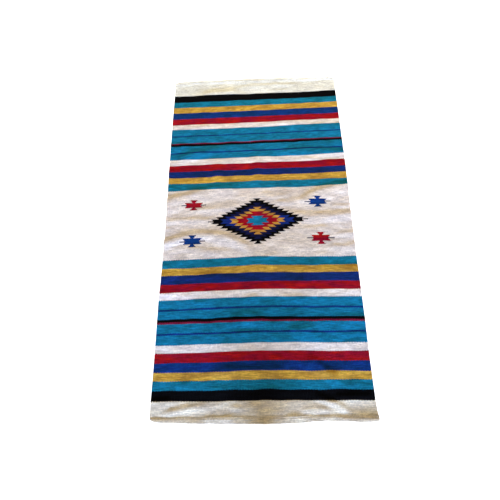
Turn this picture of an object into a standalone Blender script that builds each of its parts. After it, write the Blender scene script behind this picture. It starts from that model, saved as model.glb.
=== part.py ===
"""A serape: one flat-woven blanket with a turned hem at each end, lying on a floor in low swells.

X runs across the cloth, Y along it towards its far end and Z up. The origin is on the floor, under
the middle of the cloth. Lengths are in metres, and the tables below are in millimetres.
"""

import math
from collections import namedtuple

import bmesh
import bpy
from mathutils import Vector

MM = 0.001

# The cloth
HALF_WIDTH = 0.4085
HALF_LENGTH = 0.811
CLOTH_THICK = 0.003

# The end hems: the cloth turned in once and stitched, so thicker than the rest
HEM_DEPTH = 0.022
HEM_STEP = 0.004
HEM_EXTRA = 0.0016

# The outer strip, as deep as a hem with its step: it follows the uneven outline, and it curls up a
# little, so that the cloth lies on the even rectangle inside it
STRIP = HEM_DEPTH + HEM_STEP
EDGE_CURL = 0.0008

# The corners are pulled in a little by the hem's last stitches
CORNER_RUN = 0.026
CORNER_DROP = 0.009

# The spacing of the points that carry the swells
GRID_STEP = 0.017

# How far each long side is drawn in from the full width, along the cloth
Side = namedtuple("Side", "along left_in right_in")
SIDES = (
    Side(-811, 1.5, 0.0),
    Side(-730, 0.5, 5.0),
    Side(-600, 1.0, 5.5),
    Side(-360, 0.0, 4.0),
    Side(-230, 3.0, 5.0),
    Side(0, 4.5, 4.0),
    Side(290, 1.0, 0.5),
    Side(560, 0.0, 1.0),
    Side(740, 1.0, 2.0),
    Side(811, 0.5, 0.0),
)

# How far each end falls short of the full length, across the cloth
End = namedtuple("End", "across far_short near_short")
ENDS = (
    End(-408, 4.0, 11.0),
    End(-345, 1.0, 8.0),
    End(-250, 1.0, 4.0),
    End(-120, 0.5, 2.0),
    End(0, 0.0, 0.5),
    End(110, 2.0, 0.5),
    End(215, 7.0, 7.0),
    End(300, 11.0, 5.0),
    End(350, 9.0, 1.0),
    End(408, 11.0, 0.0),
)

# The swells: each crest is a bow from start to end, with its own height and slopes. left_slope is
# the width of the slope on the left of someone who walks from start to end, right_slope the other.
# fade_in and fade_out are the lengths over which it rises and dies away, and 0 runs off the edge.
Swell = namedtuple(
    "Swell", "name start end bow height left_slope right_slope fade_in fade_out"
)
SWELLS = (
    Swell("left shoulder", (-409, 94), (-40, 174), 17, 4.7, 34, 76, 0, 90),
    Swell("right shoulder", (180, 76), (409, 159), 16, 5.0, 32, 70, 50, 0),
    Swell("left middle", (-409, -108), (10, -176), 70, 4.4, 32, 38, 0, 110),
    Swell("right middle", (110, 30), (409, 15), -18, 3.6, 30, 42, 60, 0),
    Swell("far left", (-380, 329), (-90, 389), 6, 4.8, 34, 42, 60, 90),
    Swell("far right", (90, 351), (409, 335), 10, 3.7, 24, 38, 80, 0),
    Swell("far fold mark", (0, 120), (4, 384), 0, 5.6, 36, 36, 90, 110),
    Swell("far left fold mark", (-184, 140), (-178, 366), 0, 4.8, 38, 38, 90, 100),
    Swell("far end", (-340, 683), (-40, 718), 16, 4.8, 50, 66, 110, 110),
    Swell("near middle", (-160, -441), (50, -437), 0, 4.1, 56, 40, 70, 70),
    Swell("near right", (90, -499), (230, -491), 4, 4.1, 44, 26, 50, 50),
    Swell("near right fold", (160, -583), (290, -694), 10, 4.8, 28, 50, 40, 40),
    Swell("near left", (-230, -629), (110, -631), 0, 3.7, 32, 34, 90, 70),
    Swell("near right end", (270, -807), (409, -801), 0, 4.1, 46, 24, 60, 0),
)


def eased(t):
    """0 to 1 with a level start and end."""
    t = min(max(t, 0.0), 1.0)
    return t * t * (3 - 2 * t)


def table_value(rows, column, at):
    """A column of a table between its rows, in metres, eased from each row to the next."""
    keys = [row[0] * MM for row in rows]
    values = [getattr(row, column) * MM for row in rows]
    if at <= keys[0]:
        return values[0]
    for k in range(len(rows) - 1):
        if at <= keys[k + 1]:
            share = (at - keys[k]) / (keys[k + 1] - keys[k])
            return values[k] + (values[k + 1] - values[k]) * eased(share)
    return values[-1]


def side_reach(along, side):
    """The distance from the middle line to one long side, -1 for the left and 1 for the right."""
    column = "right_in" if side > 0 else "left_in"
    return HALF_WIDTH - table_value(SIDES, column, along)


def end_reach(across, end):
    """The distance from the middle to one end, -1 for the near end and 1 for the far one."""
    column = "far_short" if end > 0 else "near_short"
    into_corner = max(0.0, abs(across) - (HALF_WIDTH - CORNER_RUN)) / CORNER_RUN
    drop = CORNER_DROP * into_corner**2
    return HALF_LENGTH - table_value(ENDS, column, across) - drop


def swell_height(swell, x, y):
    """How high one swell lifts the cloth at a point, in metres."""
    start = Vector(swell.start) * MM
    run = Vector(swell.end) * MM - start
    length = run.length
    run.normalize()
    reach = Vector((x, y)) - start
    along = reach.dot(run)
    share = min(max(along / length, 0.0), 1.0)
    sideways = run.x * reach.y - run.y * reach.x - 4 * swell.bow * MM * share * (1 - share)
    slope = (swell.left_slope if sideways > 0 else swell.right_slope) * MM
    if abs(sideways) >= slope:
        return 0.0
    rise = eased(along / (swell.fade_in * MM)) if swell.fade_in else 1.0
    fall = eased((length - along) / (swell.fade_out * MM)) if swell.fade_out else 1.0
    across = 0.5 * (1 + math.cos(math.pi * sideways / slope))
    return swell.height * MM * across * rise * fall


def lift(x, y):
    """The height of the cloth's underside above the floor."""
    return sum(swell_height(swell, x, y) for swell in SWELLS)


def thickness(from_end):
    """The cloth's thickness at a distance from its nearer end: more in the hem."""
    into_hem = (HEM_DEPTH + HEM_STEP - from_end) / HEM_STEP
    return CLOTH_THICK + HEM_EXTRA * eased(into_hem)


def even_steps(low, high, step):
    """Points from low to high, about a step apart, with both ends."""
    count = round((high - low) / step)
    return [low + (high - low) * k / count for k in range(count + 1)]


def places(half):
    """The points along one direction: evenly over the flat rectangle, then across each strip."""
    flat = half - STRIP
    strip = [flat + HEM_STEP, half]
    return [-place for place in reversed(strip)] + even_steps(-flat, flat, GRID_STEP) + strip


def into_strip(place, half):
    """How far a place lies in the outer strip: 0 at its inner edge, 1 at the cloth's edge."""
    return max(0.0, abs(place) - (half - STRIP)) / STRIP


def to_outline(place, half, reach):
    """A place of the even cloth, moved so that the outer strip ends at the real edge."""
    drawn_in = into_strip(place, half) * (half - reach)
    return place - math.copysign(drawn_in, place)


def curl(across, along):
    """How far the outer strip has curled up at a place."""
    return EDGE_CURL * eased(max(into_strip(across, HALF_WIDTH), into_strip(along, HALF_LENGTH)))


def woven_material():
    """Dyed yarn, woven tight: matt, with no gloss of its own. The colour is the cream ground's."""
    material = bpy.data.materials.new("woven_yarn")
    material.use_nodes = True
    shader = material.node_tree.nodes["Principled BSDF"]
    shader.inputs["Base Color"].default_value = (0.75, 0.66, 0.56, 1.0)
    shader.inputs["Roughness"].default_value = 0.85
    shader.inputs["Metallic"].default_value = 0.0
    return material


def cloth_point(across, along, is_top):
    """A point of the even cloth, placed on the floor, with the real outline and the swells."""
    x = to_outline(across, HALF_WIDTH, side_reach(along, across))
    y = to_outline(along, HALF_LENGTH, end_reach(across, along))
    rise = thickness(HALF_LENGTH - abs(along)) if is_top else 0.0
    return x, y, lift(x, y) + curl(across, along) + rise


def add_layer(mesh, is_top):
    """One face of the cloth, as a grid of points."""
    columns = places(HALF_WIDTH)
    rows = []
    for along in places(HALF_LENGTH):
        row = [mesh.verts.new(cloth_point(across, along, is_top)) for across in columns]
        rows.append(row)
    for near, far in zip(rows, rows[1:]):
        for k in range(len(columns) - 1):
            mesh.faces.new((near[k], near[k + 1], far[k + 1], far[k]))


def make_serape():
    """The cloth's underside and its top, joined all round by the edge."""
    mesh = bmesh.new()
    add_layer(mesh, is_top=False)
    add_layer(mesh, is_top=True)
    rims = [edge for edge in mesh.edges if edge.is_boundary]
    bmesh.ops.bridge_loops(mesh, edges=rims)
    bmesh.ops.recalc_face_normals(mesh, faces=mesh.faces[:])

    data = bpy.data.meshes.new("serape")
    mesh.to_mesh(data)
    mesh.free()
    data.shade_smooth()
    data.set_sharp_from_angle(angle=math.radians(40))
    serape = bpy.data.objects.new("serape", data)
    bpy.context.scene.collection.objects.link(serape)
    serape.data.materials.append(woven_material())


for old in list(bpy.data.objects):
    bpy.data.objects.remove(old)
make_serape()
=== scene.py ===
# %% [markdown]
# # A serape on the floor
#
# A serape is a blanket woven on a simple loom. Strong warp threads run along its length, and thick
# dyed weft yarn is packed over them until they no longer show. Colour changes only with the weft, so
# the stripes run straight across, and a slanted shape can only be woven as small steps.
#
# This lesson takes one such blanket from its flat size to a finished render. The blanket lies on a
# floor: first come the camera, the floor and the light, then the cloth with its swells, then its hems
# and stitches, and last the weave with its stripes, its diamond and its four small motifs.
#
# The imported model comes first. It fixes the real size and place of everything, in metres, with X
# across the cloth, Y along it and Z up.

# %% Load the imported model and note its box
import math
from collections import namedtuple

import bpy
import numpy as np
from mathutils import Matrix, Vector, noise


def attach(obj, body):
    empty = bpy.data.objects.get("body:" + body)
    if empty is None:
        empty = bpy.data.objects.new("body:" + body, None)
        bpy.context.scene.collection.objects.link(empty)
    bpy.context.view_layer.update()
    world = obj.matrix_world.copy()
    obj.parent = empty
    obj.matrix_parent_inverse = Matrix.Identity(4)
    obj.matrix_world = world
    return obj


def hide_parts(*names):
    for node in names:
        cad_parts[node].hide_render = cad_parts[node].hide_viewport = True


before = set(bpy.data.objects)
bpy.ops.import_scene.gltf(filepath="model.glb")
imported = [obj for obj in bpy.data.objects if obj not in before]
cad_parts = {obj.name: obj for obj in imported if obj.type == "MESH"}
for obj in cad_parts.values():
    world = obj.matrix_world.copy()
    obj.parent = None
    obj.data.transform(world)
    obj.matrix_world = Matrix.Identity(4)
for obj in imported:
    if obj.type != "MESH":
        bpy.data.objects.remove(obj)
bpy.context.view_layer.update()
MM = 0.001

# %% [markdown]
# ## The camera
#
# The camera is a phone's, held at about eye height over the near end and tipped down. Its main lens
# sees about as much as a 27 mm lens on a 36 mm frame. It could be aimed with a Track To constraint,
# but a phone is never held quite level, and a constraint would take that small roll away. So its
# three turns are given one by one, as a hand makes them.

# %% Place the camera
CAMERA_PLACE = (0.0106, -0.7433, 1.4624)
HEADING = math.radians(4.51)
TIP_UP = math.radians(22.39)
ROLL = math.radians(-5.81)
LENS = 27.0
FRAME_WIDTH = 36.0

bpy.ops.object.select_all(action="DESELECT")
bpy.ops.object.camera_add(location=CAMERA_PLACE)
camera = bpy.context.object
camera.name = "phone_camera"
turn = Matrix.Rotation(HEADING, 3, "Z")
turn = turn @ Matrix.Rotation(TIP_UP, 3, "X")
turn = turn @ Matrix.Rotation(ROLL, 3, "Z")
camera.rotation_euler = turn.to_euler()
camera.data.lens = LENS
camera.data.sensor_width = FRAME_WIDTH
bpy.context.scene.camera = camera

print("The camera stands", round(CAMERA_PLACE[2], 2), "m above the floor")

# %% [markdown]
# ## Colours as people write them
#
# A colour picker shows sRGB values, which are spaced for the eye. Light adds up in linear values, so
# Blender's sockets want those. One function turns a hex value into a linear colour, and every colour
# in this file goes through it. The Standard view keeps dyed colours as strong as they are, where a
# filmic view would mute them.

# %% Turn hex colours into linear ones
def linear(hex_colour):
    """The linear red, green, blue and alpha of an sRGB hex value such as #E1D5C8."""
    levels = [int(hex_colour[k : k + 2], 16) / 255 for k in (1, 3, 5)]
    flat = [c / 12.92 if c <= 0.04045 else ((c + 0.055) / 1.055) ** 2.4 for c in levels]
    return (*flat, 1.0)


bpy.context.scene.view_settings.view_transform = "Standard"
print("Cream in linear light:", [round(c, 3) for c in linear("#E1D5C8")])

# %% [markdown]
# ## The floor and the light
#
# The floor is plain and white. It could be a small disc, but the side views look far past the cloth,
# so it is a wide plane. The paint is matt, and it glows, as an overexposed white floor seems to. It
# lies half a millimetre under the cloth, so that the two never share a surface.

# %% Lay the floor
FLOOR_WIDTH = 30.0
FLOOR_DROP = 0.5 * MM
FLOOR_GLOW = 0.85

bpy.ops.object.select_all(action="DESELECT")
bpy.ops.mesh.primitive_plane_add(size=FLOOR_WIDTH, location=(0, 0, -FLOOR_DROP))
floor = bpy.context.object
floor.name = "floor"
paint = bpy.data.materials.new("matt white floor paint")
paint.use_nodes = True
paint_shader = paint.node_tree.nodes["Principled BSDF"]
paint_shader.inputs["Base Color"].default_value = linear("#F7F7F7")
paint_shader.inputs["Roughness"].default_value = 0.9
paint_shader.inputs["Specular IOR Level"].default_value = 0.1
paint_shader.inputs["Emission Color"].default_value = linear("#FFFFFF")
paint_shader.inputs["Emission Strength"].default_value = FLOOR_GLOW
floor.data.materials.append(paint)

print("The floor is", FLOOR_WIDTH, "m wide")

# %% [markdown]
# Cloth that lies nearly flat shows its swells only where light skims over it. One wide, cool window
# stands low behind the camera, so each swell has a bright near side. A warm lamp hangs over the far
# end and fills the far sides with a sandy tone. The window could be two spots, but those would give
# hard shadows.

# %% Hang the lights
Lamp = namedtuple("Lamp", "name place aim width height power colour")
LAMPS = (
    Lamp("wide_window", (0.4, -11.6, 2.05), (0, 0.2, 0), 7.5, 2.2, 6700, "#B6CCFF"),
    Lamp("far_lamp", (0.3, 2.0, 2.4), (0, 0.3, 0), 1.5, 1.5, 90, "#FFE8C4"),
)
SKY_STRENGTH = 0.085

for lamp in LAMPS:
    bpy.ops.object.light_add(type="AREA", location=lamp.place)
    light = bpy.context.object
    light.name = lamp.name
    light.data.shape = "RECTANGLE"
    light.data.size = lamp.width
    light.data.size_y = lamp.height
    light.data.energy = lamp.power
    light.data.color = linear(lamp.colour)[:3]
    light.visible_camera = False
    aim = Vector(lamp.aim) - Vector(lamp.place)
    light.rotation_euler = aim.to_track_quat("-Z", "Y").to_euler()

sky = bpy.data.worlds.new("plain white room")
bpy.context.scene.world = sky
sky.use_nodes = True
sky.node_tree.nodes["Background"].inputs["Color"].default_value = linear("#FFFFFF")
sky.node_tree.nodes["Background"].inputs["Strength"].default_value = SKY_STRENGTH

print("Lamps:", [lamp.name for lamp in LAMPS])

# %% [markdown]
# The light falls off towards the middle of the near half. Two windows with a gap between them could
# do that, but a gap is hard to place. So a narrow dark board stands upright in front of the near end
# and throws a very soft shadow. The camera doesn't see it.

# %% Stand a narrow board in the window's light
BOARD_PLACE = (0.01, -0.98, 0.5)
BOARD_WIDTH = 0.12
BOARD_HEIGHT = 1.0

bpy.ops.object.select_all(action="DESELECT")
bpy.ops.mesh.primitive_plane_add(size=1, location=BOARD_PLACE, rotation=(math.radians(90), 0, 0))
board = bpy.context.object
board.name = "shade_board"
board.scale = (BOARD_WIDTH, BOARD_HEIGHT, 1)
board.visible_camera = False
board_paint = bpy.data.materials.new("matt dark board paint")
board_paint.use_nodes = True
board_paint.node_tree.nodes["Principled BSDF"].inputs["Base Color"].default_value = linear("#2A2A30")
board.data.materials.append(board_paint)

print("The board is", BOARD_WIDTH, "m wide")

# %% [markdown]
# ## The sizes of the cloth
#
# A hand-woven blanket is never a true rectangle: its sides draw in where the weft was pulled tight,
# and its ends run a little askew. Each side and each end is a short table of how far it falls short
# of the full size. Between two rows of a table the value is eased, so the outline has no corners.

# %% The cloth and its uneven outline
HALF_WIDTH = 0.4085
HALF_LENGTH = 0.811
CLOTH_THICK = 3.0 * MM
HEM_THICK = 4.0 * MM
HEM_DEPTH = 22 * MM
HEM_STEP = 4 * MM
STRIP = HEM_DEPTH + HEM_STEP
EDGE_CURL = 0.8 * MM
CORNER_RUN = 26 * MM
CORNER_DROP = 9 * MM

# How far each long side is drawn in from the full width, along the cloth, in millimetres
Side = namedtuple("Side", "along left_in right_in")
SIDES = (
    Side(-811, 1.5, 0.0),
    Side(-730, 0.5, 5.0),
    Side(-600, 1.0, 5.5),
    Side(-360, 0.0, 4.0),
    Side(-230, 3.0, 5.0),
    Side(0, 4.5, 4.0),
    Side(290, 1.0, 0.5),
    Side(560, 0.0, 1.0),
    Side(740, 1.0, 2.0),
    Side(811, 0.5, 0.0),
)

# How far each end falls short of the full length, across the cloth, in millimetres
End = namedtuple("End", "across far_short near_short")
ENDS = (
    End(-408, 4.0, 11.0),
    End(-345, 1.0, 8.0),
    End(-250, 1.0, 4.0),
    End(-120, 0.5, 2.0),
    End(0, 0.0, 0.5),
    End(110, 2.0, 0.5),
    End(215, 7.0, 7.0),
    End(300, 11.0, 5.0),
    End(350, 9.0, 1.0),
    End(408, 11.0, 0.0),
)


def eased(t):
    """0 to 1 with a level start and end."""
    t = np.clip(t, 0.0, 1.0)
    return t * t * (3 - 2 * t)


def table_value(rows, column, at):
    """A column of a table between its rows, in metres, eased from each row to the next."""
    keys = np.array([row[0] for row in rows]) * MM
    values = np.array([getattr(row, column) for row in rows]) * MM
    k = np.clip(np.searchsorted(keys, at, side="right") - 1, 0, len(rows) - 2)
    share = (at - keys[k]) / (keys[k + 1] - keys[k])
    return values[k] + (values[k + 1] - values[k]) * eased(share)


print("The cloth is", round(2 * HALF_WIDTH, 3), "m wide and", round(2 * HALF_LENGTH, 3), "m long")

# %% [markdown]
# ## The swells and creases
#
# The blanket was folded before it was laid out, so it lies in low swells. They could be left to a
# cloth simulation, but that would give other swells than these. So each one is placed one by one: a
# crest that bows from one point to another, with its own height and a slope to each side. A fade
# makes it rise and die away, and a fade of 0 lets it run off the edge of the cloth. All are in
# millimetres, and left and right are as seen from the start, looking along the crest.

# %% The large swells
Swell = namedtuple("Swell", "name start end bow height left_slope right_slope fade_in fade_out")
SWELLS = (
    Swell("left shoulder", (-409, 94), (-40, 174), 17, 4.7, 34, 76, 0, 90),
    Swell("right shoulder", (180, 76), (409, 159), 16, 5.0, 32, 70, 50, 0),
    Swell("left middle", (-409, -108), (10, -176), 70, 4.4, 32, 38, 0, 110),
    Swell("right middle", (110, 30), (409, 15), -18, 3.6, 30, 42, 60, 0),
    Swell("far left", (-380, 329), (-90, 389), 6, 4.8, 34, 42, 60, 90),
    Swell("far right", (90, 351), (409, 335), 10, 3.7, 24, 38, 80, 0),
    Swell("far fold mark", (0, 120), (4, 384), 0, 5.6, 36, 36, 90, 110),
    Swell("far left fold mark", (-184, 140), (-178, 366), 0, 4.8, 38, 38, 90, 100),
    Swell("far end", (-340, 683), (-40, 718), 16, 4.8, 50, 66, 110, 110),
    Swell("near middle", (-160, -441), (50, -437), 0, 4.1, 56, 40, 70, 70),
    Swell("near right", (90, -499), (230, -491), 4, 4.1, 44, 26, 50, 50),
    Swell("near right fold", (160, -583), (290, -694), 10, 4.8, 28, 50, 40, 40),
    Swell("near left", (-230, -629), (110, -631), 0, 3.7, 32, 34, 90, 70),
    Swell("near right end", (270, -807), (409, -801), 0, 4.1, 46, 24, 60, 0),
)


def swell_height(swell, x, y):
    """How high one swell lifts the cloth at each point, in metres."""
    start = np.array(swell.start) * MM
    run = np.array(swell.end) * MM - start
    length = np.hypot(*run)
    run = run / length
    along = (x - start[0]) * run[0] + (y - start[1]) * run[1]
    share = np.clip(along / length, 0, 1)
    bow = 4 * swell.bow * MM * share * (1 - share)
    sideways = run[0] * (y - start[1]) - run[1] * (x - start[0]) - bow
    slope = np.where(sideways > 0, swell.left_slope, swell.right_slope) * MM
    across = 0.5 * (1 + np.cos(np.pi * np.clip(sideways / slope, -1, 1)))
    rise = eased(along / (swell.fade_in * MM)) if swell.fade_in else 1.0
    fall = eased((length - along) / (swell.fade_out * MM)) if swell.fade_out else 1.0
    return swell.height * MM * across * rise * fall


swell_heights = [swell.height for swell in SWELLS]
print("Swells:", len(SWELLS), "from", min(swell_heights), "to", max(swell_heights), "mm high")

# %% [markdown]
# Between the large swells lie small creases, one to three millimetres high, which only the light
# finds. They could be left to a bump texture, but then their places would be left to chance. So they
# have rows of the same kind, lower and narrower.

# %% The small creases
CREASES = (
    Swell("left upper", (-340, 44), (-60, 70), 2, 1.9, 24, 28, 70, 60),
    Swell("left low", (-409, 4), (-180, 3), 0, 1.9, 18, 22, 0, 60),
    Swell("left foot", (-360, -130), (-110, -166), 6, 1.9, 28, 24, 80, 70),
    Swell("right shoulder foot", (60, 74), (250, 98), -4, 2.2, 24, 22, 60, 70),
    Swell("right foot", (180, -54), (320, -52), 0, 1.7, 24, 26, 50, 50),
    Swell("right edge", (320, -83), (409, -79), 0, 1.8, 20, 26, 40, 0),
    Swell("right low", (270, -142), (409, -138), 0, 1.7, 28, 40, 60, 0),
    Swell("middle foot", (-70, -178), (100, -182), 0, 1.5, 40, 22, 50, 50),
    Swell("upper middle", (10, 107), (180, 119), 0, 1.4, 34, 22, 50, 60),
    Swell("far yellow", (-210, 239), (-30, 217), 0, 2.2, 22, 22, 50, 40),
    Swell("far blue", (-409, 251), (-240, 261), 0, 2.5, 26, 34, 0, 60),
    Swell("far left edge", (-409, 410), (-300, 406), 0, 2.5, 20, 44, 0, 50),
    Swell("far right edge", (300, 391), (409, 391), 0, 2.2, 22, 26, 50, 0),
    Swell("far right low edge", (280, 284), (409, 280), 0, 2.8, 24, 48, 60, 0),
    Swell("far red", (190, 306), (310, 306), 0, 1.7, 18, 20, 40, 40),
    Swell("far teal left", (-360, 509), (-200, 511), 0, 1.9, 24, 24, 50, 50),
    Swell("far teal right", (130, 500), (409, 496), 0, 2.2, 24, 50, 80, 0),
    Swell("far cream", (100, 522), (280, 526), 0, 2.0, 22, 24, 50, 50),
    Swell("far blue left", (-310, 590), (-190, 592), 0, 2.0, 24, 26, 50, 50),
    Swell("far end right", (-120, 755), (240, 763), 5, 1.3, 16, 24, 80, 80),
    Swell("near blue left", (-290, -253), (-30, -275), 0, 2.5, 24, 30, 60, 60),
    Swell("near blue right", (120, -289), (220, -281), 0, 2.5, 28, 24, 40, 40),
    Swell("near yellow right", (90, -234), (190, -232), 0, 1.7, 18, 20, 40, 40),
    Swell("near right broad", (210, -233), (409, -237), 0, 2.8, 26, 60, 60, 0),
    Swell("near left edge", (-409, -248), (-320, -250), 0, 2.2, 22, 34, 0, 50),
    Swell("near red left", (-409, -326), (-300, -326), 0, 1.9, 20, 22, 0, 50),
    Swell("near red right", (10, -300), (200, -302), 0, 1.4, 18, 18, 50, 50),
    Swell("near cream left", (-90, -356), (10, -356), 0, 2.2, 24, 24, 40, 40),
    Swell("near cream right", (70, -356), (190, -356), 0, 2.2, 24, 24, 40, 40),
    Swell("near teal left", (-280, -365), (-200, -363), 0, 1.9, 20, 30, 30, 30),
    Swell("near teal right", (200, -444), (409, -440), 0, 2.5, 26, 60, 60, 0),
    Swell("near teal middle", (-120, -495), (10, -493), 0, 2.2, 30, 22, 50, 50),
    Swell("near yellow edge", (210, -642), (320, -642), 0, 2.2, 22, 24, 40, 40),
    Swell("near last teal left", (-340, -672), (-240, -674), 0, 2.2, 20, 26, 40, 40),
    Swell("near last teal right", (310, -678), (390, -680), 0, 2.2, 20, 26, 40, 30),
    Swell("near black left", (-200, -697), (-90, -697), 0, 2.5, 26, 22, 40, 40),
    Swell("near black middle", (10, -697), (130, -700), 0, 2.5, 30, 22, 40, 40),
    Swell("near end corner", (-409, -732), (-322, -727), 0, 2.7, 12, 26, 0, 26),
    Swell("near end left", (-372, -774), (-188, -745), 0, 2.5, 18, 18, 50, 30),
    Swell("near end right", (250, -724), (405, -722), 0, 2.6, 12, 28, 24, 30),
    Swell("near end streak", (-120, -756), (10, -757), 0, 1.7, 16, 12, 30, 30),
    Swell("near end slant", (178, -712), (312, -774), 0, 3.0, 18, 20, 26, 26),
    Swell("near end low", (120, -769), (250, -766), 0, 1.7, 14, 12, 30, 30),
    Swell("near hem ridge", (-60, -772), (110, -774), 0, 1.5, 14, 12, 40, 40),
    Swell("near hem left", (-230, -786), (-90, -787), 0, 1.5, 8, 26, 40, 40),
    Swell("near hem middle", (20, -784), (190, -785), 0, 1.6, 8, 26, 40, 40),
)

print("Small creases:", len(CREASES))

# %% [markdown]
# ## The cloth as a flat grid
#
# The cloth starts as a flat grid of the real width and length. A cell of about 5.5 mm is small
# enough for the softest ripple, and the closed cloth stays under 200,000 triangles. A grid could be
# cut finer everywhere, but only the hems need it, so their rows are moved closer together.

# %% Add the grid
COLUMNS = 148
ROWS = 300
HEM_ROWS = 14

bpy.ops.object.select_all(action="DESELECT")
bpy.ops.mesh.primitive_grid_add(x_subdivisions=COLUMNS, y_subdivisions=ROWS, size=1)
cloth = bpy.context.object
cloth.name = "woven_cloth"
bpy.ops.object.mode_set(mode="EDIT")
bpy.ops.transform.resize(value=(2 * HALF_WIDTH, 2 * HALF_LENGTH, 1))
bpy.ops.object.mode_set(mode="OBJECT")

print("Grid:", len(cloth.data.vertices), "points")

# %% Read the flat place of each point, and move the rows of the hems closer together
points = np.zeros(len(cloth.data.vertices) * 3)
cloth.data.vertices.foreach_get("co", points)
points = points.reshape(-1, 3)
flat_x = points[:, 0]

row_number = np.rint((points[:, 1] / HALF_LENGTH + 1) / 2 * ROWS)
row_starts = [0, HEM_ROWS, ROWS - HEM_ROWS, ROWS]
row_ends = [-HALF_LENGTH, STRIP - HALF_LENGTH, HALF_LENGTH - STRIP, HALF_LENGTH]
flat_y = np.interp(row_number, row_starts, row_ends)

print("Rows in the hems are", round(STRIP / HEM_ROWS / MM, 2), "mm apart")

# %% [markdown]
# ## The outline and the unevenness
#
# The points move from the even rectangle to the real outline. Only the outer strip stretches, so the
# cloth lies on the even rectangle inside it. The selvedge, which is the woven edge, has a small lump
# at each turn of the weft, and the folded ends are a little wavy.
#
# Smooth noise gives the fine unevenness. Most of it is longer across the cloth than along it, because
# the thick weft is stiffer that way. It is never below zero, since the floor is there.

# %% Helpers for the outline and the noise
def into_strip(place, half):
    """How far a place lies in the outer strip: 0 at its inner edge, 1 at the cloth's edge."""
    return np.maximum(0, np.abs(place) - (half - STRIP)) / STRIP


# A wave has its height, its length across and along the cloth, and a seed that sets it apart from the
# others. The heights and lengths are in millimetres.
Wave = namedtuple("Wave", "height across along seed")


def waved(wave, x, y):
    """Smooth noise with a wave's lengths, from about minus its height to plus its height."""
    spots = zip(x / (wave.across * MM), y / (wave.along * MM))
    shares = [noise.noise((a, b, wave.seed)) for a, b in spots]
    return wave.height * MM * np.array(shares)


def drawn_in(wave, x, y):
    """How far a wave draws an edge in, from 0 to its height."""
    return 0.5 * (wave.height * MM + waved(wave, x, y))


print("The outer strip is", round(STRIP / MM), "mm wide")

# %% Move the points to the outline
# Along an edge the other place is only the side, 1 or -1, so that the two edges differ
TURN_LUMPS = Wave(0.7, 1000, 11, 3.7)
END_WAVES = Wave(1.6, 34, 1000, 8.2)

right_side = HALF_WIDTH - table_value(SIDES, "right_in", flat_y)
left_side = HALF_WIDTH - table_value(SIDES, "left_in", flat_y)
side_reach = np.where(flat_x > 0, right_side, left_side)
far_reach = HALF_LENGTH - table_value(ENDS, "far_short", flat_x)
near_reach = HALF_LENGTH - table_value(ENDS, "near_short", flat_x)
into_corner = np.maximum(0, np.abs(flat_x) - (HALF_WIDTH - CORNER_RUN)) / CORNER_RUN
end_reach = np.where(flat_y > 0, far_reach, near_reach) - CORNER_DROP * into_corner**2

side_reach = side_reach - drawn_in(TURN_LUMPS, np.sign(flat_x), flat_y)
end_reach = end_reach - drawn_in(END_WAVES, flat_x, np.sign(flat_y))

x = flat_x - np.sign(flat_x) * into_strip(flat_x, HALF_WIDTH) * (HALF_WIDTH - side_reach)
y = flat_y - np.sign(flat_y) * into_strip(flat_y, HALF_LENGTH) * (HALF_LENGTH - end_reach)

print("Outline across from", x.min().round(4), "to", x.max().round(4))
print("Outline along from", y.min().round(4), "to", y.max().round(4))

# %% Lift the points into the swells
BROAD_WAVES = Wave(1.1, 160, 75, 0.3)
SHORT_WAVES = Wave(1.3, 50, 15, 5.1)
SHORT_RAISE = 0.325 * MM
PUCKERS = Wave(0.5, 20, 30, 9.4)

height = sum(swell_height(swell, x, y) for swell in SWELLS + CREASES)
height = height + np.maximum(0, waved(BROAD_WAVES, x, y))
height = height + np.maximum(0, SHORT_RAISE + waved(SHORT_WAVES, x, y))

from_end = HALF_LENGTH - np.abs(flat_y)
in_hem = eased((STRIP - from_end) / HEM_STEP)
height = height + in_hem * np.maximum(0, waved(PUCKERS, x, y))

to_edge = np.maximum(into_strip(flat_x, HALF_WIDTH), into_strip(flat_y, HALF_LENGTH))
height = height + EDGE_CURL * eased(to_edge)

cloth.data.vertices.foreach_set("co", np.column_stack((x, y, height)).ravel())
cloth.data.update()

print("The underside rises to", round(height.max() / MM, 1), "mm")

# %% [markdown]
# ## Coordinates that follow the weave
#
# The pattern was woven before the cloth was pulled, so it needs coordinates of its own: u across the
# cloth and v along it, in metres, from the middle of the diamond. They could be the flat places
# themselves. But the weft doesn't lie quite straight: it bows towards the far end, with a slight
# kink at the middle line where the blanket was folded. A UV map holds u and v for each point.

# %% Write the weave's coordinates into a UV map
PATTERN_MIDDLE = (2 * MM, -9 * MM)

# How far the weft lies beyond its straight line, in millimetres, at five places across the cloth:
# both edges, the middle, and halfway between
Bow = namedtuple("Bow", "along left_edge left middle right right_edge")
BOWS = (
    Bow(-811, 2.0, 0.0, -1.5, -3.0, -5.5),
    Bow(-720, 0.0, -1.7, -0.6, -3.9, -6.3),
    Bow(-620, -2.0, -2.0, 1.6, -3.0, -7.0),
    Bow(-520, -4.0, -2.0, 2.2, -2.8, -6.5),
    Bow(-345, -5.0, 0.0, 3.6, -2.0, -6.0),
    Bow(-270, -4.0, 1.0, 4.0, -1.6, -5.0),
    Bow(-170, -2.3, 0.5, 7.0, -1.4, -3.3),
    Bow(0, -1.7, 2.8, 3.5, 2.8, -1.3),
    Bow(170, -5.0, -4.6, -1.8, -4.0, -0.4),
    Bow(260, -7.4, -6.4, -3.6, -4.3, -0.1),
    Bow(345, -9.6, -8.3, -5.3, -4.7, -0.2),
    Bow(520, -8.5, -8.2, -6.5, -3.3, -1.7),
    Bow(620, -6.6, -7.1, -6.5, -5.5, -2.4),
    Bow(720, -4.7, -5.9, -5.0, -5.2, -2.1),
    Bow(811, -3.0, -4.1, -2.3, -1.5, -1.8),
)
BOW_COLUMNS = Bow._fields[1:]
BOW_STEP = 0.205
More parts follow.
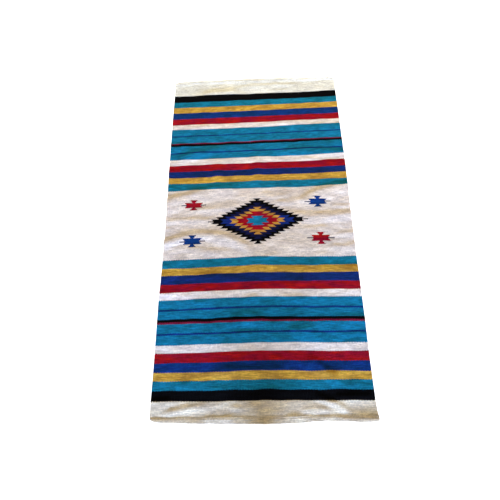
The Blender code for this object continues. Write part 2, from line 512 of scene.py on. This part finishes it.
WEFT_WANDER = Wave(2.4, 70, 26, 2.2)

u = x - PATTERN_MIDDLE[0]
v = y - PATTERN_MIDDLE[1]
bow = np.zeros(len(u))
for number, column in enumerate(BOW_COLUMNS):
    steps_from_middle = number - len(BOW_COLUMNS) // 2
    nearness = np.maximum(0, 1 - np.abs(u / BOW_STEP - steps_from_middle))
    bow = bow + nearness * table_value(BOWS, column, v)
v = v - bow + waved(WEFT_WANDER, u, v)

weave_map = cloth.data.uv_layers[0]
weave_map.name = "weave"
corners = np.zeros(len(cloth.data.loops), dtype=np.int32)
cloth.data.loops.foreach_get("vertex_index", corners)
weave_map.data.foreach_set("uv", np.column_stack((u[corners], v[corners])).ravel())

print("u from", u.min().round(3), "to", u.max().round(3))
print("v from", v.min().round(3), "to", v.max().round(3))

# %% [markdown]
# ## Thickness
#
# At each end the cloth is turned in, stitched down and pressed, so there it is a third thicker, with
# a shallow groove where the stitches pull. The hem could be a second layer, but once it is pressed
# flat nobody sees between the layers. A Solidify modifier gives the cloth its thickness, and a vertex
# group says how much of it each point gets. A Bevel then rounds the edge all round.

# %% Give the cloth its thickness
STITCH_LINE = 20.5 * MM
GROOVE_HALF = 2.8 * MM
GROOVE_DEPTH = 1.1 * MM
EDGE_ROUND = 1.2 * MM
EDGE_ANGLE = math.radians(50)

thick = CLOTH_THICK + (HEM_THICK - CLOTH_THICK) * in_hem
groove = eased(1 - np.abs(from_end - STITCH_LINE) / GROOVE_HALF)
thick = thick - GROOVE_DEPTH * groove

thickness_group = cloth.vertex_groups.new(name="thickness")
for index, share in enumerate(thick / HEM_THICK):
    thickness_group.add([index], share, "REPLACE")

solidify = cloth.modifiers.new("thickness", "SOLIDIFY")
solidify.thickness = HEM_THICK
solidify.offset = 1.0
solidify.vertex_group = "thickness"
bevel = cloth.modifiers.new("round edge", "BEVEL")
bevel.width = EDGE_ROUND
bevel.segments = 2
bevel.limit_method = "ANGLE"
bevel.angle_limit = EDGE_ANGLE

bpy.ops.object.select_all(action="DESELECT")
cloth.select_set(True)
bpy.context.view_layer.objects.active = cloth
bpy.ops.object.modifier_apply(modifier="thickness")
bpy.ops.object.modifier_apply(modifier="round edge")
bpy.ops.object.shade_smooth()
cloth.data.calc_loop_triangles()

print("The cloth has", len(cloth.data.loop_triangles), "triangles")

# %% [markdown]
# ## The stitches of the hems
#
# Each hem is held by a row of running stitches in thick cotton, and each stitch sinks a little into
# the cloth. They could be drawn as a bump, but they catch the light from the side. So one stitch is
# modelled from a small cylinder, bent down at both ends, and copied along each hem.

# %% Model one stitch
STITCH_SIDES = 6
STITCH_LENGTH = 6.5 * MM
STITCH_THICK = 1.3 * MM
STITCH_SINK = 0.9 * MM
STITCH_TAPER = 0.45
ALONG_X = (0, math.radians(90), 0)

bpy.ops.object.select_all(action="DESELECT")
bpy.ops.mesh.primitive_cylinder_add(
    vertices=STITCH_SIDES, radius=STITCH_THICK / 2, depth=STITCH_LENGTH, rotation=ALONG_X
)
stitch = bpy.context.object
bpy.ops.object.transform_apply(location=True, rotation=True, scale=True)
bpy.ops.object.mode_set(mode="EDIT")
bpy.ops.mesh.select_all(action="DESELECT")
bpy.ops.object.mode_set(mode="OBJECT")
for edge in stitch.data.edges:
    ends = [stitch.data.vertices[k].co.x for k in edge.vertices]
    edge.select = abs(ends[0] - ends[1]) > STITCH_LENGTH / 2
bpy.ops.object.mode_set(mode="EDIT")
bpy.ops.mesh.select_mode(type="EDGE")
bpy.ops.mesh.subdivide(number_cuts=3)
bpy.ops.object.mode_set(mode="OBJECT")
for point in stitch.data.vertices:
    share = abs(point.co.x) / (STITCH_LENGTH / 2)
    thinner = 1 - STITCH_TAPER * share**3
    point.co.y *= thinner
    point.co.z = point.co.z * thinner - STITCH_SINK * share**2
stitch.name = "one_stitch"

print("One stitch has", len(stitch.data.vertices), "points")

# %% Copy the stitch along both hems
# Stitches made by hand stray a little from their places, so three values say by how much
STITCH_SPACING = 9.5 * MM
STITCH_MARGIN = 9 * MM
STITCH_SLANT = math.radians(7)
STRAY_ACROSS = 0.5 * MM
STRAY_ALONG = 0.35 * MM
STRAY_TURN = math.radians(3)
WELL_ABOVE = 0.1


def laid_stitch(shape, spot_x, spot_y, angle):
    """The points of one stitch, turned by an angle and laid on the cloth at a spot."""
    above = Vector((spot_x, spot_y, WELL_ABOVE))
    _, place, normal, _ = cloth.ray_cast(above, Vector((0, 0, -1)))
    up = normal.normalized()
    across = Vector((math.cos(angle), math.sin(angle), 0))
    across = (across - up * across.dot(up)).normalized()
    turned = Matrix((across, up.cross(across), up)).transposed()
    return shape @ np.array(turned).T + np.array(place)


def sew_hem(name, end, seed):
    """A row of stitches along one end of the cloth, -1 for the near end and 1 for the far one."""
    shape = np.array([point.co for point in stitch.data.vertices])
    reach = HALF_WIDTH - STITCH_MARGIN
    count = int(2 * reach / STITCH_SPACING)
    line = np.full(count, end * (HALF_LENGTH - STITCH_LINE))
    draw = np.random.default_rng(seed)
    spots = np.linspace(-reach, reach, count) + draw.normal(0, STRAY_ACROSS, count)
    along = line + draw.normal(0, STRAY_ALONG, count)
    turns = draw.normal(STITCH_SLANT, STRAY_TURN, count)
    stitches = [laid_stitch(shape, *spot) for spot in zip(spots, along, turns)]
    faces_of_one = [list(face.vertices) for face in stitch.data.polygons]
    first_points = [number * len(shape) for number in range(count)]
    faces = [[first + k for k in face] for first in first_points for face in faces_of_one]
    mesh = bpy.data.meshes.new(name)
    mesh.from_pydata(np.concatenate(stitches).tolist(), [], faces)
    mesh.shade_smooth()
    row = bpy.data.objects.new(name, mesh)
    bpy.context.scene.collection.objects.link(row)
    return row


bpy.context.view_layer.update()
hem_rows = [sew_hem("near_hem_stitches", -1, 11), sew_hem("far_hem_stitches", 1, 12)]
bpy.data.objects.remove(stitch)

print("Stitches:", [(row.name, len(row.data.polygons)) for row in hem_rows])

# %% [markdown]
# ## The yarn and its colours
#
# The yarn is a thick acrylic and wool blend, dyed before it was woven. It is matt, with a faint
# sheen that only shows at a low angle. Hand dyeing leaves each batch a little lighter or darker, and
# the teal drifts between green and blue.
#
# The pattern could be painted as an image, but an image has one fixed sharpness. Here a few Math
# nodes work it out from u and v, so it stays sharp from any distance.

# %% The colours of the yarn
CREAM = "#DED4C4"
PALE = "#E4DCCF"
FAR_ECRU = "#DEE1D2"
# The near end band is painted darker and yellower than the far one, as painted shade over the near
# end
NEAR_ECRU_AND_SHADE = "#DDD2B5"
BLACK = "#040405"
TEAL = "#127189"
DEEP_TEAL = "#127292"
YELLOW = "#BF963B"
AMBER = "#BC893A"
BLUE = "#0E336E"
VIOLET_BLUE = "#122A60"
NAVY = "#101538"
MID_BLUE = "#152A6E"
RED = "#941020"
WINE = "#701A34"

# The stripes from the outside in. Each starts this far from the middle, in millimetres. The two
# halves differ a little, because the weft is beaten by hand.
Stripe = namedtuple("Stripe", "far_start near_start yarn")
STRIPES = (
    Stripe(727.0, 722.5, BLACK),
    Stripe(687.0, 684.5, TEAL),
    Stripe(652.5, 651.5, YELLOW),
    Stripe(618.5, 620.0, BLUE),
    Stripe(581.0, 584.0, RED),
    Stripe(544.5, 549.0, PALE),
    Stripe(517.0, 519.0, DEEP_TEAL),
    Stripe(480.0, 481.5, BLUE),
    Stripe(473.0, 474.5, DEEP_TEAL),
    Stripe(435.0, 438.0, WINE),
    Stripe(428.0, 430.0, BLACK),
    Stripe(417.0, 420.0, DEEP_TEAL),
    Stripe(381.0, 384.5, BLUE),
    Stripe(374.5, 377.5, DEEP_TEAL),
    Stripe(339.5, 340.5, PALE),
    Stripe(308.0, 309.0, RED),
    Stripe(273.0, 276.0, VIOLET_BLUE),
    Stripe(238.5, 238.5, YELLOW),
    Stripe(206.0, 209.0, TEAL),
    Stripe(168.5, 170.5, CREAM),
)

print("Stripes in each half:", len(STRIPES))

# %% [markdown]
# One helper adds a node, fills its inputs and hands back its first output, so that a chain of nodes
# reads like a sum.

# %% The helper that adds a node
yarn = bpy.data.materials.new("woven weft-faced yarn")
yarn.use_nodes = True
tree = yarn.node_tree
shader = tree.nodes["Principled BSDF"]


def add(kind, *inputs, **settings):
    """Adds a node with its settings, fills its inputs in order and returns its first output."""
    node = tree.nodes.new("ShaderNode" + kind)
    for name, value in settings.items():
        setattr(node, name, value)
    for socket, value in zip([s for s in node.inputs if s.enabled], inputs):
        if isinstance(value, bpy.types.NodeSocket):
            tree.links.new(value, socket)
        else:
            socket.default_value = value
    return next(output for output in node.outputs if output.enabled)


weave_place = add("UVMap", uv_map="weave")
u_line = add("SeparateXYZ", weave_place)
v_line = u_line.node.outputs["Y"]

print("Nodes so far:", len(tree.nodes))

# %% [markdown]
# ## The weave
#
# Seen close, a weft-faced cloth is made of small beads. Each bead is a weft thread as it passes over
# one warp thread, and on the next warp the beads are half a step further along, because there the
# thread passes under. So a colour can only change from bead to bead, and a straight stripe has an
# edge like a fine comb.
#
# The real ribs are 5 mm apart and are drawn so. A real bead is 2.5 mm long, which is too fine to
# show, and is drawn 3.8 mm long.

# %% Find the bead that each point belongs to
RIB = 5.0 * MM
BEAD = 3.767 * MM

rib_place = add("Math", u_line, RIB, operation="DIVIDE")
rib = add("Math", rib_place, operation="FLOOR")
odd = add("Math", rib, 2.0, operation="FLOORED_MODULO")
shift = add("Math", odd, 0.5, operation="MULTIPLY")
bead_scale = add("Math", v_line, BEAD, operation="DIVIDE")
bead_place = add("Math", bead_scale, shift, operation="ADD")
bead = add("Math", bead_place, operation="FLOOR")

rib_middle = add("Math", rib, 0.5, operation="ADD")
u_bead = add("Math", rib_middle, RIB, operation="MULTIPLY")
bead_middle = add("Math", bead, 0.5, operation="ADD")
bead_back = add("Math", bead_middle, shift, operation="SUBTRACT")
v_bead = add("Math", bead_back, BEAD, operation="MULTIPLY")
v_out = add("Math", v_bead, operation="ABSOLUTE")
in_far_half = add("Math", v_bead, 0.0, operation="GREATER_THAN")

print("Ribs across the cloth:", round(2 * HALF_WIDTH / RIB))

# %% [markdown]
# ## The stripes
#
# The stripes are mirrored about the middle, so the table goes by the distance from it, with a column
# for each half. The plain end bands come first. They are undyed yarn, the far band whiter; the near
# band is painted darker and yellower, as painted shade over the near end. A Color Ramp could hold the
# stripes, but it has few steps and would shift the thin ones. Instead each row of the table lays its
# yarn over the ones before, from the outside in.

# %% Lay the stripes
# The near end band's colour carries painted shade over the near end
colour = add("Mix", in_far_half, linear(NEAR_ECRU_AND_SHADE), linear(FAR_ECRU), data_type="RGBA")
for stripe in STRIPES:
    extra = (stripe.far_start - stripe.near_start) * MM
    start = add("Math", in_far_half, extra, stripe.near_start * MM, operation="MULTIPLY_ADD")
    inside = add("Math", v_out, start, operation="LESS_THAN")
    colour = add("Mix", inside, colour, linear(stripe.yarn), data_type="RGBA")

print("Nodes so far:", len(tree.nodes))

# %% [markdown]
# ## The stepped diamond
#
# The diamond is woven in rows. Each row is a little wider on its outer side, away from the middle,
# which gives the saw-toothed outline of this kind of weaving. Its rings of colour have teeth of the
# same size, and each ring ends one or two steps further out than the one inside it. The navy ring
# has a brighter blue at both of its ends.
#
# The diamond could be one long outline, but then each ring would need its own. Instead, for each
# point, the nodes count the steps from the middle: those across the rows, and those along the row it
# lies in. The sum says which ring it is in.

# %% Count the steps of the diamond
ROW = 3 * BEAD
TOOTH = 20.5 * MM
MIDDLE_HALF = 18 * MM
SLANT = 12 * MM
DIAMOND_U = -4 * MM

u_diamond = add("Math", u_bead, DIAMOND_U, operation="SUBTRACT")
u_far = add("Math", u_diamond, operation="ABSOLUTE")
v_far = add("Math", v_line, operation="ABSOLUTE")
row_place = add("Math", v_far, ROW, operation="DIVIDE")
row_count = add("Math", row_place, operation="FLOOR")
row_share = add("Math", row_place, operation="FRACT")
row_left = add("Math", 1.0, row_share, operation="SUBTRACT")
slanted = add("Math", row_left, SLANT, u_far, operation="MULTIPLY_ADD")
beyond = add("Math", slanted, MIDDLE_HALF, operation="SUBTRACT")
teeth = add("Math", beyond, TOOTH, operation="DIVIDE")
steps_out = add("Math", teeth, row_count, operation="ADD")

print("A row of the diamond is", round(ROW / MM, 1), "mm high")

# %% Colour the rings from the outside in
# Each ring reaches this many steps out, and has this many rows in each half. Rows are counted in
# whole numbers from 0, so the limit lies half a row below
Ring = namedtuple("Ring", "steps rows yarn")
RINGS = (
    Ring(9, 10, BLACK),
    Ring(7, 8, NAVY),
    Ring(5, 6, AMBER),
    Ring(3.7, 4, RED),
    Ring(1.5, 2, DEEP_TEAL),
)

BLUE_END_ROWS = 2

for ring in RINGS:
    in_ring = add("Math", steps_out, float(ring.steps), operation="LESS_THAN")
    in_rows = add("Math", row_count, ring.rows - 0.5, operation="LESS_THAN")
    both = add("Math", in_ring, in_rows, operation="MULTIPLY")
    colour = add("Mix", both, colour, linear(ring.yarn), data_type="RGBA")
    if ring.yarn == NAVY:
        middle_rows = add("Math", row_count, BLUE_END_ROWS - 0.5, operation="LESS_THAN")
        blue_end = add("Math", middle_rows, in_ring, operation="MULTIPLY")
        colour = add("Mix", blue_end, colour, linear(MID_BLUE), data_type="RGBA")

print("The diamond is", round(2 * RINGS[0].rows * ROW / MM), "mm high")

# %% [markdown]
# A thin black line runs out from each side of the diamond, where the black yarn is carried on for a
# single bead. It could be a thin mesh, but it is woven in, so three limits mark it on the cloth.

# %% Draw the thin lines beside the diamond
LINE_REACH = 218 * MM
LINE_START = 186 * MM
LINE_HALF = 2.2 * MM

on_line = add("Math", v_far, LINE_HALF, operation="LESS_THAN")
before_end = add("Math", u_far, LINE_REACH, operation="LESS_THAN")
past_start = add("Math", u_far, LINE_START, operation="GREATER_THAN")
on_both = add("Math", on_line, before_end, operation="MULTIPLY")
on_tail = add("Math", on_both, past_start, operation="MULTIPLY")
colour = add("Mix", on_tail, colour, linear(BLACK), data_type="RGBA")

print("Each thin line is", round((LINE_REACH - LINE_START) / MM), "mm long")

# %% [markdown]
# ## The four small motifs
#
# A small stepped figure stands in each quarter of the cream field, two red and two blue. They could
# be four figures of their own, but they stand in mirrored places. So the distances from the middle
# of the field are folded into one quarter, and the figure is made only once. It has two rows in each
# half, with slanted ends like the diamond's teeth.

# %% Fold the field into one quarter
FIELD_U = -11.5 * MM
MOTIF_OUT_U = 274 * MM
MOTIF_OUT_V = 88 * MM

u_field = add("Math", u_bead, FIELD_U, operation="SUBTRACT")
u_quarter = add("Math", u_field, operation="ABSOLUTE")
u_aside = add("Math", u_quarter, MOTIF_OUT_U, operation="SUBTRACT")
v_aside = add("Math", v_far, MOTIF_OUT_V, operation="SUBTRACT")
u_motif = add("Math", u_aside, operation="ABSOLUTE")
v_motif = add("Math", v_aside, operation="ABSOLUTE")

print("The motifs stand", round(2 * MOTIF_OUT_U / MM), "mm apart across the cloth")

# %% Cut the figure into its rows and colour it
MOTIF_ROWS = 2
MOTIF_ROW = 13.6 * MM
WAIST_HALF = 41 * MM
ROW_NARROWER = 23.5 * MM
MOTIF_SLANT = 11 * MM

motif_place = add("Math", v_motif, MOTIF_ROW, operation="DIVIDE")
motif_row = add("Math", motif_place, operation="FLOOR")
motif_share = add("Math", motif_place, operation="FRACT")
motif_left = add("Math", 1.0, motif_share, operation="SUBTRACT")
narrowed = add("Math", motif_row, -ROW_NARROWER, WAIST_HALF, operation="MULTIPLY_ADD")
motif_reach = add("Math", motif_left, -MOTIF_SLANT, narrowed, operation="MULTIPLY_ADD")
in_reach = add("Math", u_motif, motif_reach, operation="LESS_THAN")
in_motif_rows = add("Math", motif_row, MOTIF_ROWS - 0.5, operation="LESS_THAN")
in_motif = add("Math", in_reach, in_motif_rows, operation="MULTIPLY")

# The red figures stand where one of u and v is below zero, and the blue ones in the other quarters
side_product = add("Math", u_field, v_line, operation="MULTIPLY")
is_red = add("Math", side_product, 0.0, operation="LESS_THAN")
motif_colour = add("Mix", is_red, linear(BLUE), linear(RED), data_type="RGBA")
colour = add("Mix", in_motif, colour, motif_colour, data_type="RGBA")

motif_height = 2 * MOTIF_ROWS * MOTIF_ROW
print("Each motif is", round(2 * WAIST_HALF / MM), "by", round(motif_height / MM), "mm")

# %% Draw the thin line through each motif
MOTIF_LINE = 56 * MM

on_waist = add("Math", v_motif, LINE_HALF, operation="LESS_THAN")
near_motif = add("Math", u_motif, MOTIF_LINE, operation="LESS_THAN")
past_waist = add("Math", u_motif, WAIST_HALF - MOTIF_SLANT, operation="GREATER_THAN")
on_waist_line = add("Math", on_waist, near_motif, operation="MULTIPLY")
on_motif_line = add("Math", on_waist_line, past_waist, operation="MULTIPLY")
colour = add("Mix", on_motif_line, colour, linear(NAVY), data_type="RGBA")

print("Nodes so far:", len(tree.nodes))

# %% [markdown]
# ## The unevenness of the yarn
#
# Even in one stripe no two beads are alike. Each bead is a little lighter or darker, slubs run along
# the weft as short streaks, the dye takes unevenly in patches, and each wide part of the cloth drifts
# a little. One noise could do all of it, but it would look like dirt. So each has a texture of its
# own size that scales the lightness, and the patches of dye also turn the hue.
#
# Dyed yarn is more uneven than undyed yarn. The saturation of the colour says how much dye there is,
# so it sets the power that the tones of the streaks and the patches are raised to.

# %% Lay a noise of each size over the cloth
Texture = namedtuple("Texture", "name length height detail roughness")
TEXTURES = (
    Texture("streak", 38, 4.2, 3.0, 0.7),
    Texture("drift", 210, 60, 2.0, 0.5),
    Texture("dye", 80, 22, 2.0, 0.5),
)

levels = {}
for texture in TEXTURES:
    scale = (1 / (texture.length * MM), 1 / (texture.height * MM), 1.0)
    place = add("VectorMath", weave_place, scale, operation="MULTIPLY")
    levels[texture.name] = add(
        "TexNoise", place, 1.0, texture.detail, texture.roughness, noise_dimensions="2D"
    )

print("Textures, in mm:", [(texture.name, texture.length, texture.height) for texture in TEXTURES])

# %% Vary the lightness and the hue
# The levels that a noise mostly stays between
NOISE_LEVELS = (0.25, 0.75)
DYE_LEVELS = (0.3, 0.7)

# The lowest and the highest tone that each one gives. A hue of 0.5 leaves the colour as it is
BEAD_TONES = (0.87, 1.10)
STREAK_TONES = (0.78, 1.20)
DRIFT_TONES = (0.94, 1.06)
DYE_TONES = (0.91, 1.10)
DYE_HUES = (0.494, 0.506)
DYED_POWER = 1.3

bead_number = add("CombineXYZ", rib, bead)
bead_chance = add("TexWhiteNoise", bead_number, noise_dimensions="2D")
bead_tone = add("MapRange", bead_chance, 0.0, 1.0, *BEAD_TONES)
streak_tone = add("MapRange", levels["streak"], *NOISE_LEVELS, *STREAK_TONES)
drift_tone = add("MapRange", levels["drift"], *NOISE_LEVELS, *DRIFT_TONES)
dye_tone = add("MapRange", levels["dye"], *DYE_LEVELS, *DYE_TONES)
dye_hue = add("MapRange", levels["dye"], *DYE_LEVELS, *DYE_HUES)

saturation = add("SeparateColor", colour, mode="HSV").node.outputs["Green"]
power = add("Math", saturation, DYED_POWER, 1.0, operation="MULTIPLY_ADD")
yarn_tone = add("Math", streak_tone, dye_tone, operation="MULTIPLY")
yarn_tone = add("Math", yarn_tone, power, operation="POWER")
tone = add("Math", bead_tone, drift_tone, operation="MULTIPLY")
tone = add("Math", tone, yarn_tone, operation="MULTIPLY")

print("Nodes so far:", len(tree.nodes))

# %% [markdown]
# ## The relief of the weave
#
# Each bead is round, with a shadow where it dives under the next warp. The beads could be modelled,
# but they are smaller than the cells of the grid, so they are a bump. The same height also darkens
# the gaps, because little light gets down there.

# %% Shape the beads
BEAD_ROUNDNESS = 0.5
GAP_TONES = (0.82, 1.04)

across_bead = add("Math", rib_place, rib_middle, operation="SUBTRACT")
along_bead = add("Math", bead_place, bead_middle, operation="SUBTRACT")
across_turn = add("Math", across_bead, math.pi, operation="MULTIPLY")
along_turn = add("Math", along_bead, math.pi, operation="MULTIPLY")
across_round = add("Math", across_turn, operation="COSINE")
along_round = add("Math", along_turn, operation="COSINE")
dome = add("Math", across_round, along_round, operation="MULTIPLY")
bead_height = add("Math", dome, BEAD_ROUNDNESS, operation="POWER")
gap_tone = add("MapRange", bead_height, 0.0, 0.8, *GAP_TONES)
tone = add("Math", tone, gap_tone, operation="MULTIPLY")

print("A bead is", round(RIB / MM, 1), "by", round(BEAD / MM, 1), "mm")

# %% Add the yarn's own unevenness to the relief
# The streaks and the fibres stand this high beside a bead of height 1
STREAK_RELIEF = 1.1
FIBRE_RELIEF = 0.25
FIBRE = 0.9 * MM
RELIEF = 1.0 * MM
RELIEF_STRENGTH = 0.9

fibre_scale = (1 / (3 * FIBRE), 1 / FIBRE, 1.0)
fibre_place = add("VectorMath", weave_place, fibre_scale, operation="MULTIPLY")
fibre = add("TexNoise", fibre_place, 1.0, 1.0, 0.5, noise_dimensions="2D")
with_streaks = add("Math", levels["streak"], STREAK_RELIEF, bead_height, operation="MULTIPLY_ADD")
full_height = add("Math", fibre, FIBRE_RELIEF, with_streaks, operation="MULTIPLY_ADD")
relief = add("Bump", RELIEF_STRENGTH, RELIEF)
tree.links.new(full_height, relief.node.inputs["Height"])

print("The relief is", round(RELIEF / MM, 1), "mm deep")

# %% [markdown]
# ## The finish
#
# The tone scales the colour, and the dye turns its hue. Wool and acrylic yarn scatter light, so the
# surface is rough, with hardly any specular light and the least sheen from the loose fibres. It
# could be more glossy where the yarn is new, but then the dark stripes would turn grey.

# %% Finish the yarn
YARN_ROUGHNESS = (0.62, 0.82)

toned = add("VectorMath", colour, operation="SCALE")
tree.links.new(tone, toned.node.inputs["Scale"])
turned_hue = add("HueSaturation", dye_hue, 1.0, 1.0, 1.0, toned)
tree.links.new(turned_hue, shader.inputs["Base Color"])
rough = add("MapRange", levels["streak"], *NOISE_LEVELS, *YARN_ROUGHNESS)
tree.links.new(rough, shader.inputs["Roughness"])
tree.links.new(relief, shader.inputs["Normal"])
shader.inputs["Specular IOR Level"].default_value = 0.03
shader.inputs["Sheen Weight"].default_value = 0.005
shader.inputs["Sheen Roughness"].default_value = 0.45
cloth.data.materials.append(yarn)

print("The yarn has", len(tree.nodes), "nodes")

# %% [markdown]
# The hem thread is unbleached cotton: matt, slightly yellow, with the fine twist of its plies. It
# could share the yarn's material, but it isn't woven and has no pattern. The twist is a noise of its
# real size, drawn out along the hem.

# %% Finish the hem thread
thread = bpy.data.materials.new("spun cotton hem thread")
thread.use_nodes = True
tree = thread.node_tree
thread_shader = tree.nodes["Principled BSDF"]
TWIST = 1.1 * MM

twist_scale = (1 / TWIST, 0.5 / TWIST, 1 / TWIST)
thread_place = add("TexCoord").node.outputs["Object"]
twist_place = add("VectorMath", thread_place, twist_scale, operation="MULTIPLY")
twist = add("TexNoise", twist_place, 1.0, 1.0, 0.5)
thread_colour = add("Mix", twist, linear("#C9BBA2"), linear("#F1E9DA"), data_type="RGBA")
tree.links.new(thread_colour, thread_shader.inputs["Base Color"])
thread_shader.inputs["Roughness"].default_value = 0.8
thread_shader.inputs["Specular IOR Level"].default_value = 0.3
for row in hem_rows:
    row.data.materials.append(thread)

print("The thread has", len(tree.nodes), "nodes")

# %% [markdown]
# ## What each piece is
#
# Every piece moves with the one body of the model. The cloth stands for the plain solid, which is
# hidden.

for piece in [cloth, *hem_rows]:
    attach(piece, "root")
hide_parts("serape")

print("Pieces:", [piece.name for piece in [cloth, *hem_rows]])
